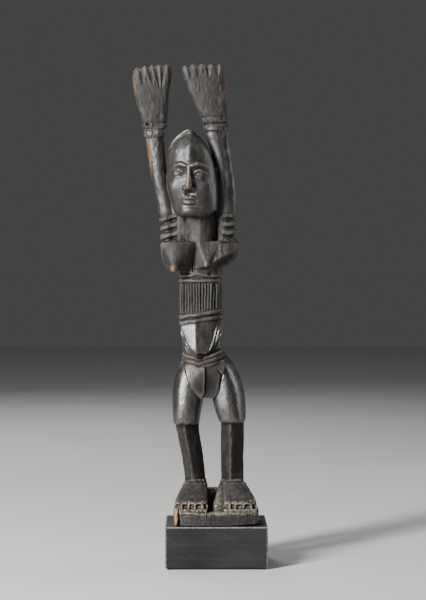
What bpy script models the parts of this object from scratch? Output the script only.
"""A carved wooden ancestor figure with raised arms, standing on a blackened display plinth.

Metres, +Z up, the figure faces -Y. The origin is the middle of the plinth's underside. The figure is
one piece of wood with its own foot slab, and lifts straight up off two steel pins set in the plinth.
"Left" is the -X side throughout.
"""

import math

import bmesh
import bpy
from mathutils import Vector

# ---------------------------------------------------------------- driving dimensions
MM = 0.001  # the station tables below are in millimetres
FIT_GAP = 0.0003  # clear space between two pieces that rest on each other
PIN_CLEARANCE = 0.0003  # radial clearance of a pin in its hole

PLINTH_WIDTH = 0.096
PLINTH_DEPTH = 0.075
PLINTH_BLOCK_HEIGHT = 0.0385
PLINTH_ARRIS = 0.0006  # the edges are only just broken
FELT_THICKNESS = 0.0012
FELT_INSET = 0.002

PIN_DIAMETER = 0.005
PIN_DEPTH_IN_PLINTH = 0.022
PIN_REACH_IN_FIGURE = 0.020
PIN_CHAMFER = 0.0006
PIN_SIDES = 24

# Heights of the figure, stacked up from its underside
SLAB_THICKNESS = 0.0125
FOOT_HEIGHT = 0.026
SHIN_LENGTH = 0.056
THIGH_LENGTH = 0.057
TORSO_LENGTH = 0.085
CHEST_HEIGHT = 0.029
NECK_LENGTH = 0.024
HEAD_HEIGHT = 0.081
ARM_LENGTH = 0.117
HAND_LENGTH = 0.052

# Widths (across X) and depths (along Y)
SLAB_WIDTH = 0.0805
SLAB_DEPTH = 0.061
SLAB_CORNER = 0.017
SLAB_ARRIS = 0.0012  # the slab's top edge is worn down by this much
SLAB_CENTRE_Y = -0.003
FOOT_WIDTH = 0.029
FOOT_LENGTH = 0.050
SHIN_WIDTH = 0.0225
SHIN_DEPTH = 0.024
THIGH_WIDTH = 0.0255
THIGH_DEPTH = 0.033
WAIST_WIDTH = 0.040
WAIST_DEPTH = 0.034
HIP_WIDTH = 0.046
HIP_DEPTH = 0.042
CHEST_WIDTH = 0.072
CHEST_DEPTH = 0.036
NECK_WIDTH = 0.029
NECK_DEPTH = 0.028
HEAD_WIDTH = 0.0465
HEAD_DEPTH = 0.049
ARM_WIDTH = 0.0175
ARM_DEPTH = 0.0185
HAND_WIDTH = 0.040
HAND_DEPTH = 0.013
BREAST_RADIUS = 0.0115
BREAST_LENGTH = 0.017
BREAST_FALL = 0.62  # how far a breast's axis drops for each unit it reaches forward
HEEL_INSET = 0.008  # the heels stand this far inside the slab's back edge
HEEL_WEB_WIDTH = 0.013  # uncut wood left between the heels
HEEL_WEB_DEPTH = 0.016
HEEL_WEB_HEIGHT = 0.0175
HEEL_WEB_Y = 0.012
NECK_WEB_WIDTH = 0.017  # uncut wood left between the neck and each arm
NECK_WEB_DEPTH = 0.015
NECK_WEB_Y = 0.003
WEB_OVERLAP = 0.006  # how far the neck web and the neck run down into the chest
NOSE_LENGTH = 0.018
NOSE_RELIEF = 0.003
BAND_RELIEF = 0.0016  # how far a carved ring stands out of the wood under it
ARMLET_SLOPE = 0.3  # the armlets rise this much for each unit away from the body
BELT_SLOPE = 0.10  # the rings under the ribs rise this much towards +X

# Where the body's line goes, seen from the front: the log leans to the left as it rises
LEFT_ANKLE = (-0.0188, 0.004)
LEFT_KNEE = (-0.0275, -0.005)
LEFT_HIP = (-0.0235, 0.003)
RIGHT_ANKLE = (0.0158, 0.004)
RIGHT_KNEE = (0.0158, -0.005)
RIGHT_HIP = (0.0045, 0.003)
WAIST = (-0.0135, 0.000)
BUST = (-0.0148, -0.001)
SHOULDERS = (-0.0165, 0.000)
THROAT = (-0.0150, -0.001)
CHIN = (-0.0190, -0.004)
CROWN = (-0.0253, 0.001)
LEFT_SHOULDER = (-0.0435, 0.002)
LEFT_WRIST = (-0.0585, 0.003)
LEFT_FINGERTIPS = (-0.0582, 0.002)
RIGHT_SHOULDER = (0.0110, 0.002)
RIGHT_WRIST = (0.0010, 0.003)
RIGHT_FINGERTIPS = (-0.0108, 0.002)
LEFT_BREAST_X = -0.0325
RIGHT_BREAST_X = -0.0095
LEFT_TOES_X = -0.0262
RIGHT_TOES_X = 0.0220

# How finely the carving's one surface is made
VOXEL = 0.0013
FIGURE_TRIANGLES = 8600
RING_POINTS = 28
SHARP_ANGLE_DEG = 35

# ---------------------------------------------------------------- worked-out heights
PLINTH_BOTTOM = FELT_THICKNESS + FIT_GAP
PLINTH_TOP = PLINTH_BOTTOM + PLINTH_BLOCK_HEIGHT
FIGURE_BOTTOM = PLINTH_TOP + FIT_GAP
SLAB_TOP = FIGURE_BOTTOM + SLAB_THICKNESS
ANKLE_HEIGHT = SLAB_TOP + FOOT_HEIGHT
KNEE_HEIGHT = ANKLE_HEIGHT + SHIN_LENGTH
HIP_HEIGHT = KNEE_HEIGHT + THIGH_LENGTH
BUST_HEIGHT = HIP_HEIGHT + TORSO_LENGTH
SHOULDER_HEIGHT = BUST_HEIGHT + CHEST_HEIGHT
CHIN_HEIGHT = SHOULDER_HEIGHT + NECK_LENGTH
CROWN_HEIGHT = CHIN_HEIGHT + HEAD_HEIGHT
WRIST_HEIGHT = SHOULDER_HEIGHT + ARM_LENGTH
FINGERTIP_HEIGHT = WRIST_HEIGHT + HAND_LENGTH
PIN_BOTTOM = PLINTH_TOP - PIN_DEPTH_IN_PLINTH
PIN_TOP = FIGURE_BOTTOM + PIN_REACH_IN_FIGURE
PIN_PLACES = {"left": LEFT_ANKLE, "right": RIGHT_ANKLE}

# Where the carved rings stand: shares of the way up the torso from the waist, and up the arm
WAIST_RINGS = (-0.09, 0.00)
RIB_RINGS = (0.43, 0.50)
CHEST_RING = 0.91
ARMLETS = (0.07, 0.14, 0.21)
BRACELETS = (0.90, 1.00)


def point(place, height):
    """A point on the body's line: its (x, y) place at a height."""
    return Vector((place[0], place[1], height))


# ---------------------------------------------------------------- scene, collections, materials
def clear_scene():
    for obj in list(bpy.data.objects):
        bpy.data.objects.remove(obj, do_unlink=True)


def new_collection(name):
    collection = bpy.data.collections.new(name)
    bpy.context.scene.collection.children.link(collection)
    return collection


def new_material(name, colour, roughness, metallic=0.0):
    material = bpy.data.materials.new(name)
    material.use_nodes = True
    material.diffuse_color = (*colour, 1.0)
    shader = material.node_tree.nodes["Principled BSDF"]
    shader.inputs["Base Color"].default_value = (*colour, 1.0)
    shader.inputs["Roughness"].default_value = roughness
    shader.inputs["Metallic"].default_value = metallic
    return material


def object_from_bmesh(name, shape, collection):
    mesh = bpy.data.meshes.new(name)
    bmesh.ops.recalc_face_normals(shape, faces=shape.faces)
    shape.to_mesh(mesh)
    shape.free()
    obj = bpy.data.objects.new(name, mesh)
    collection.objects.link(obj)
    return obj


def finish_part(obj, material):
    obj.data.materials.clear()
    obj.data.materials.append(material)
    obj.data.shade_smooth()
    obj.data.set_sharp_from_angle(angle=math.radians(SHARP_ANGLE_DEG))


def make_cutter(obj):
    obj.hide_render = True
    obj.display_type = "WIRE"


def add_boolean(obj, name, operation, other):
    modifier = obj.modifiers.new(name, "BOOLEAN")
    modifier.operation = operation
    modifier.solver = "EXACT"
    modifier.object = other


def bake_modifiers(obj):
    """Replaces the object's mesh with what its modifiers make of it."""
    graph = bpy.context.evaluated_depsgraph_get()
    mesh = bpy.data.meshes.new_from_object(obj.evaluated_get(graph))
    obj.modifiers.clear()
    obj.data = mesh


# ---------------------------------------------------------------- lofted wood forms
def add_ring(shape, centre, across, up, squareness):
    """A closed ring on a superellipse; across and up are its half-axis vectors."""
    ring = []
    for step in range(RING_POINTS):
        angle = math.tau * step / RING_POINTS
        cosine, sine = math.cos(angle), math.sin(angle)
        u = math.copysign(abs(cosine) ** (2 / squareness), cosine)
        v = math.copysign(abs(sine) ** (2 / squareness), sine)
        ring.append(shape.verts.new(centre + across * u + up * v))
    return ring


def loft(shape, rings):
    """Skins a run of rings of equal count and closes both ends, as a form of its own in the mesh."""
    for lower, upper in zip(rings, rings[1:]):
        for step in range(RING_POINTS):
            following = (step + 1) % RING_POINTS
            shape.faces.new((lower[step], lower[following], upper[following], upper[step]))
    shape.faces.new(list(reversed(rings[0])))
    shape.faces.new(rings[-1])


def limb(shape, start, end, width, depth, squareness, stations):
    """An upright form from start to end. A station is (share of the way, share of width, share of
    depth, sideways shift in mm, forward shift in mm)."""
    rings = []
    for share, wide, deep, aside, forward in stations:
        centre = start.lerp(end, share) + Vector((aside, -forward, 0)) * MM
        across = Vector((width * wide / 2, 0, 0))
        along = Vector((0, depth * deep / 2, 0))
        rings.append(add_ring(shape, centre, across, along, squareness))
    loft(shape, rings)


def add_leg(shape, ankle, knee, hip, outward):
    """outward is how far, in mm, the thigh's middle stands aside of the line from knee to hip."""
    ankle_point = point(ankle, ANKLE_HEIGHT)
    knee_point = point(knee, KNEE_HEIGHT)
    hip_point = point(hip, HIP_HEIGHT)
    shin_stations = [
        (-0.35, 0.88, 0.95, 0, 0),
        (0.00, 0.88, 0.92, 0, 0),
        (0.45, 0.92, 0.96, 0, 0),
        (1.00, 0.97, 1.02, 0, 0),
        (1.25, 0.85, 0.90, 0, 0),
    ]
    limb(shape, ankle_point, knee_point, SHIN_WIDTH, SHIN_DEPTH, 2.0, shin_stations)
    thigh_stations = [
        (-0.01, 0.86, 0.84, 0, 1.0),
        (0.12, 0.98, 0.95, 0, 1.2),
        (0.30, 1.05, 1.00, 0, 0.5),
        (0.55, 1.12, 1.06, outward, 0),
        (0.80, 1.04, 1.08, 1.4 * outward, -1.5),
        (0.96, 0.74, 0.92, 1.2 * outward, -2.0),
        (1.08, 0.45, 0.76, 0, -1.0),
    ]
    limb(shape, knee_point, hip_point, THIGH_WIDTH, THIGH_DEPTH, 2.3, thigh_stations)


def add_foot(shape, ankle, toes_x):
    """The foot slopes from a crisp collar at the ankle down to the toes, near the slab's front edge."""
    heel_y = SLAB_DEPTH / 2 - HEEL_INSET
    stations = [
        # share of length, share of width, share of the way to the toes, share of height
        (0.00, 0.50, 0.00, 0.45),
        (0.10, 0.72, 0.00, 0.80),
        (0.30, 0.84, 0.05, 1.00),
        (0.56, 0.88, 0.30, 1.00),
        (0.80, 0.96, 0.75, 0.58),
        (0.97, 1.00, 1.00, 0.32),
        (1.00, 0.94, 1.00, 0.22),
    ]
    sole = FIGURE_BOTTOM + SLAB_THICKNESS / 2
    rings = []
    for share, wide, outward, high in stations:
        top = SLAB_TOP + FOOT_HEIGHT * high
        x = ankle[0] + (toes_x - ankle[0]) * outward
        centre = Vector((x, heel_y - FOOT_LENGTH * share, (top + sole) / 2))
        across = Vector((FOOT_WIDTH * wide / 2, 0, 0))
        rings.append(add_ring(shape, centre, across, Vector((0, 0, (top - sole) / 2)), 3.2))
    loft(shape, rings)


def add_torso(shape):
    hips = point(WAIST, KNEE_HEIGHT + THIGH_LENGTH * 0.47)
    waist = point(WAIST, HIP_HEIGHT + 0.004)
    hip_stations = [
        (0.00, 0.34, 0.60, 2.0, 1.0),
        (0.25, 0.80, 0.90, 0.5, 0),
        (0.55, 0.96, 1.00, 0.6, -2.0),
        (0.85, 0.84, 0.92, 0.8, -1.0),
        (1.15, 0.80, 0.80, 0.5, 0),
    ]
    limb(shape, hips, waist, HIP_WIDTH, HIP_DEPTH, 2.2, hip_stations)
    bust = point(BUST, BUST_HEIGHT)
    torso_stations = [
        (-0.08, 0.92, 0.96, 0.8, 0),
        (0.06, 0.95, 1.00, 0.5, 0.5),
        (0.20, 0.96, 1.06, 0.3, 1.5),
        (0.40, 1.00, 1.00, 0, 0.5),
        (0.80, 1.00, 0.96, 0, 0),
        (1.10, 1.00, 0.96, 0, 0),
    ]
    limb(shape, waist, bust, WAIST_WIDTH, WAIST_DEPTH, 2.5, torso_stations)
    shoulders = point(SHOULDERS, SHOULDER_HEIGHT)
    chest_stations = [
        (-0.16, 0.55, 0.84, 0, 0),
        (0.20, 0.72, 0.92, 0, 0),
        (0.45, 0.92, 1.00, 0, 0.5),
        (0.85, 1.00, 0.96, 0, 0),
        (1.00, 0.92, 0.86, 0, 0),
    ]
    limb(shape, bust, shoulders, CHEST_WIDTH, CHEST_DEPTH, 2.8, chest_stations)


def add_head(shape):
    throat = point(THROAT, SHOULDER_HEIGHT - WEB_OVERLAP)
    chin = point(CHIN, CHIN_HEIGHT + HEAD_HEIGHT * 0.12)
    neck_stations = [
        (0.00, 1.15, 1.10, 0, 0),
        (0.40, 1.00, 1.00, 0, 0),
        (1.00, 0.94, 1.00, 0, 0),
    ]
    limb(shape, throat, chin, NECK_WIDTH, NECK_DEPTH, 2.3, neck_stations)
    jaw = point(CHIN, CHIN_HEIGHT)
    crown = point(CROWN, CROWN_HEIGHT)
    head_stations = [
        (0.00, 0.46, 0.50, 0, 6.0),
        (0.06, 0.68, 0.72, 0, 3.5),
        (0.22, 0.88, 0.90, 0, 1.2),
        (0.42, 0.99, 0.98, 0, 0),
        (0.60, 1.00, 0.98, 0, 0),
        (0.76, 0.91, 0.88, 0, 0),
        (0.90, 0.68, 0.66, 0, 0),
        (0.98, 0.31, 0.32, 0, 0),
        (1.00, 0.12, 0.12, 0, 0),
    ]
    limb(shape, jaw, crown, HEAD_WIDTH, HEAD_DEPTH, 2.1, head_stations)
    add_nose(shape, jaw.lerp(crown, 0.5))


def add_nose(shape, middle):
    """A plain wedge down the middle of the face, for the head's depth and nothing finer."""
    tip = middle + Vector((0, -HEAD_DEPTH / 2, NOSE_LENGTH * -0.77))
    root = middle + Vector((0, -HEAD_DEPTH / 2 + 2 * NOSE_RELIEF, NOSE_LENGTH * 0.23))
    rings = []
    for share, wide, deep in [(0.0, 1.40, 1.17), (0.3, 1.13, 1.33), (1.0, 0.60, 1.00)]:
        across = Vector((NOSE_RELIEF * wide, 0, 0))
        along = Vector((0, NOSE_RELIEF * deep, 0))
        rings.append(add_ring(shape, tip.lerp(root, share), across, along, 2.0))
    loft(shape, rings)


def add_arm(shape, shoulder, wrist, fingertips, bow):
    """An upright arm with a broad hand; bow is how far, in mm, the elbow stands aside of a line."""
    shoulder_point = point(shoulder, SHOULDER_HEIGHT)
    wrist_point = point(wrist, WRIST_HEIGHT)
    arm_stations = [
        (-0.14, 0.80, 1.20, 0, 0),
        (0.00, 1.04, 1.20, 0, 0),
        (0.20, 1.00, 1.05, 0.5 * bow, -0.5),
        (0.40, 0.90, 0.95, bow, -1.0),
        (0.60, 0.86, 0.90, bow, -1.0),
        (0.80, 0.96, 0.84, 0.5 * bow, -0.5),
        (1.00, 1.12, 0.74, 0, 0),
    ]
    limb(shape, shoulder_point, wrist_point, ARM_WIDTH, ARM_DEPTH, 2.2, arm_stations)
    hand_stations = [
        (-0.10, 0.50, 1.00, 0, 0),
        (0.20, 0.60, 0.95, -1.0, 0),
        (0.50, 0.86, 0.95, -3.0, 0),
        (0.85, 1.00, 0.85, -1.8, 0),
        (1.00, 0.95, 0.62, -1.5, 0),
    ]
    tips = point(fingertips, FINGERTIP_HEIGHT)
    limb(shape, wrist_point, tips, HAND_WIDTH, HAND_DEPTH, 3.0, hand_stations)


def add_webs(shape):
    """Wood that the carver left standing: between the heels, and from the neck out to each arm."""
    heels_x = (LEFT_ANKLE[0] + RIGHT_ANKLE[0]) / 2
    low = Vector((heels_x, HEEL_WEB_Y, FIGURE_BOTTOM + SLAB_THICKNESS / 2))
    high = Vector((heels_x, HEEL_WEB_Y, SLAB_TOP + HEEL_WEB_HEIGHT))
    plain = [(0.0, 1.0, 1.0, 0, 0), (1.0, 1.0, 1.0, 0, 0)]
    limb(shape, low, high, HEEL_WEB_WIDTH, HEEL_WEB_DEPTH, 4.0, plain)
    for shoulder in (LEFT_SHOULDER, RIGHT_SHOULDER):
        beside_neck = (shoulder[0] + THROAT[0]) / 2
        lean = math.copysign(WEB_OVERLAP / 2, beside_neck - THROAT[0])
        low = Vector((beside_neck, NECK_WEB_Y, SHOULDER_HEIGHT - WEB_OVERLAP))
        high = Vector((beside_neck + lean, NECK_WEB_Y, CHIN_HEIGHT + HEAD_HEIGHT * 0.23))
        limb(shape, low, high, NECK_WEB_WIDTH, NECK_WEB_DEPTH, 3.0, plain)


def add_breast(shape, x, height, aside, length_share):
    """A blunt cone that points forward and down from the chest; aside is its lean towards +X."""
    base = Vector((x, CHEST_DEPTH * -0.30, height))
    direction = Vector((aside, -1, -BREAST_FALL)).normalized()
    across = direction.cross(Vector((0, 0, 1))).normalized()
    up = across.cross(direction)
    rings = []
    for share, girth in [(-0.35, 0.9), (0.0, 1.0), (0.45, 0.80), (0.80, 0.45), (1.0, 0.18)]:
        centre = base + direction * BREAST_LENGTH * length_share * share
        radius = BREAST_RADIUS * girth
        rings.append(add_ring(shape, centre, across * radius, up * radius, 2.0))
    loft(shape, rings)


def add_band(shape, centre, half_width, half_depth, slope):
    """A carved ring round a limb; slope is its rise per metre towards +X."""
    rings = []
    for level, girth in [(-1.0, 0.0), (-0.45, 0.9), (0.45, 0.9), (1.0, 0.0)]:
        reach = BAND_RELIEF * girth
        across = Vector((half_width + reach, 0, (half_width + reach) * slope))
        along = Vector((0, half_depth + reach, 0))
        middle = centre + Vector((0, 0, BAND_RELIEF * level))
        rings.append(add_ring(shape, middle, across, along, 2.3))
    loft(shape, rings)


def add_bands(shape):
    """Rings at the chest, waist, upper arms and wrists."""
    waist = point(WAIST, HIP_HEIGHT + 0.004)
    bust = point(BUST, BUST_HEIGHT)
    for share in (*WAIST_RINGS, *RIB_RINGS, CHEST_RING):
        slope = BELT_SLOPE if share in RIB_RINGS else 0.0
        add_band(shape, waist.lerp(bust, share), WAIST_WIDTH / 2, WAIST_DEPTH / 2, slope)
    arms = [(LEFT_SHOULDER, LEFT_WRIST, -1), (RIGHT_SHOULDER, RIGHT_WRIST, 1)]
    for shoulder, wrist, side in arms:
        low = point(shoulder, SHOULDER_HEIGHT)
        high = point(wrist, WRIST_HEIGHT)
        for share in ARMLETS:
            centre = low.lerp(high, share)
            add_band(shape, centre, ARM_WIDTH * 0.52, ARM_DEPTH * 0.56, -side * ARMLET_SLOPE)
        for share in BRACELETS:
            add_band(shape, low.lerp(high, share), ARM_WIDTH * 0.56, ARM_DEPTH * 0.40, 0.0)


def build_figure(parts, cutters, wood):
    shape = bmesh.new()
    add_leg(shape, LEFT_ANKLE, LEFT_KNEE, LEFT_HIP, -0.8)
    add_leg(shape, RIGHT_ANKLE, RIGHT_KNEE, RIGHT_HIP, 2.6)
    add_foot(shape, LEFT_ANKLE, LEFT_TOES_X)
    add_foot(shape, RIGHT_ANKLE, RIGHT_TOES_X)
    add_torso(shape)
    add_head(shape)
    add_arm(shape, LEFT_SHOULDER, LEFT_WRIST, LEFT_FINGERTIPS, -1.5)
    add_arm(shape, RIGHT_SHOULDER, RIGHT_WRIST, RIGHT_FINGERTIPS, 3.0)
    bust_height = BUST_HEIGHT + CHEST_HEIGHT * 0.45
    add_breast(shape, LEFT_BREAST_X, bust_height, -0.55, 1.0)
    add_breast(shape, RIGHT_BREAST_X, bust_height, -0.10, 0.8)
    add_bands(shape)
    add_webs(shape)
    add_slab(shape)
    figure = object_from_bmesh("carved_figure", shape, parts)

    merge = figure.modifiers.new("one_surface", "REMESH")
    merge.mode = "VOXEL"
    merge.voxel_size = VOXEL
    soften = figure.modifiers.new("soften", "SMOOTH")
    soften.factor = 0.5
    soften.iterations = 2
    bake_modifiers(figure)
    thin = figure.modifiers.new("thin", "DECIMATE")
    thin.ratio = FIGURE_TRIANGLES / (2 * len(figure.data.polygons))
    bake_modifiers(figure)

    below = box("below_the_slab", (PLINTH_WIDTH * 2, PLINTH_DEPTH * 2, SLAB_THICKNESS * 4), cutters)
    below.location.z = FIGURE_BOTTOM - SLAB_THICKNESS * 2
    make_cutter(below)
    add_boolean(figure, "flat_underside", "DIFFERENCE", below)
    for side, place in PIN_PLACES.items():
        bottom = FIGURE_BOTTOM - SLAB_THICKNESS
        hole = pin_hole(f"figure_hole_{side}", place, bottom, PIN_TOP + FIT_GAP, cutters)
        add_boolean(figure, f"pin_hole_{side}", "DIFFERENCE", hole)
    finish_part(figure, wood)


def add_slab(shape):
    """The foot slab: an upright block with well-rounded corners, cut flat underneath afterwards."""
    bottom = FIGURE_BOTTOM - SLAB_THICKNESS / 2
    rings = []
    for height, inset in [(bottom, 0.0), (SLAB_TOP - SLAB_ARRIS, 0.0), (SLAB_TOP, SLAB_ARRIS)]:
        centre = Vector((0, SLAB_CENTRE_Y, height))
        across = Vector((SLAB_WIDTH / 2 - inset, 0, 0))
        along = Vector((0, SLAB_DEPTH / 2 - inset, 0))
        rings.append(add_ring(shape, centre, across, along, SLAB_WIDTH / SLAB_CORNER))
    loft(shape, rings)


# ---------------------------------------------------------------- plinth, pins and felt
def box(name, size, collection, arris=0.0):
    shape = bmesh.new()
    bmesh.ops.create_cube(shape, size=1.0)
    bmesh.ops.scale(shape, vec=size, verts=shape.verts)
    obj = object_from_bmesh(name, shape, collection)
    if arris:
        bevel = obj.modifiers.new("arris", "BEVEL")
        bevel.width = arris
        bevel.segments = 1
    return obj


def rod(name, radius, bottom, top, place, collection):
    shape = bmesh.new()
    bmesh.ops.create_cone(
        shape, cap_ends=True, segments=PIN_SIDES, radius1=radius, radius2=radius, depth=top - bottom
    )
    obj = object_from_bmesh(name, shape, collection)
    obj.location = (place[0], place[1], (top + bottom) / 2)
    return obj


def pin_hole(name, place, bottom, top, collection):
    hole = rod(name, PIN_DIAMETER / 2 + PIN_CLEARANCE, bottom, top, place, collection)
    make_cutter(hole)
    return hole


def build_plinth(parts, cutters, black_wood):
    size = (PLINTH_WIDTH, PLINTH_DEPTH, PLINTH_BLOCK_HEIGHT)
    block = box("plinth_block", size, parts, PLINTH_ARRIS)
    block.location.z = PLINTH_BOTTOM + PLINTH_BLOCK_HEIGHT / 2
    for side, place in PIN_PLACES.items():
        bottom = PIN_BOTTOM - FIT_GAP
        hole = pin_hole(f"plinth_hole_{side}", place, bottom, PLINTH_TOP + PIN_REACH_IN_FIGURE, cutters)
        add_boolean(block, f"pin_hole_{side}", "DIFFERENCE", hole)
    finish_part(block, black_wood)


def build_pins(parts, steel):
    for side, place in PIN_PLACES.items():
        pin = rod(f"mount_pin_{side}", PIN_DIAMETER / 2, PIN_BOTTOM, PIN_TOP, place, parts)
        chamfer = pin.modifiers.new("chamfer", "BEVEL")
        chamfer.width = PIN_CHAMFER
        chamfer.segments = 1
        finish_part(pin, steel)


def build_felt(parts, felt):
    size = (PLINTH_WIDTH - 2 * FELT_INSET, PLINTH_DEPTH - 2 * FELT_INSET, FELT_THICKNESS)
    pad = box("felt_pad", size, parts)
    pad.location.z = FELT_THICKNESS / 2
    finish_part(pad, felt)


def main():
    clear_scene()
    parts = new_collection("carved_ancestor_figure")
    cutters = new_collection("cutters")
    wood = new_material("carved_wood", (0.055, 0.038, 0.028), 0.38)
    black_wood = new_material("blackened_wood", (0.018, 0.018, 0.019), 0.55)
    steel = new_material("steel", (0.55, 0.55, 0.56), 0.35, 1.0)
    felt = new_material("felt", (0.012, 0.012, 0.013), 0.95)
    build_felt(parts, felt)
    build_plinth(parts, cutters, black_wood)
    build_pins(parts, steel)
    build_figure(parts, cutters, wood)


main()
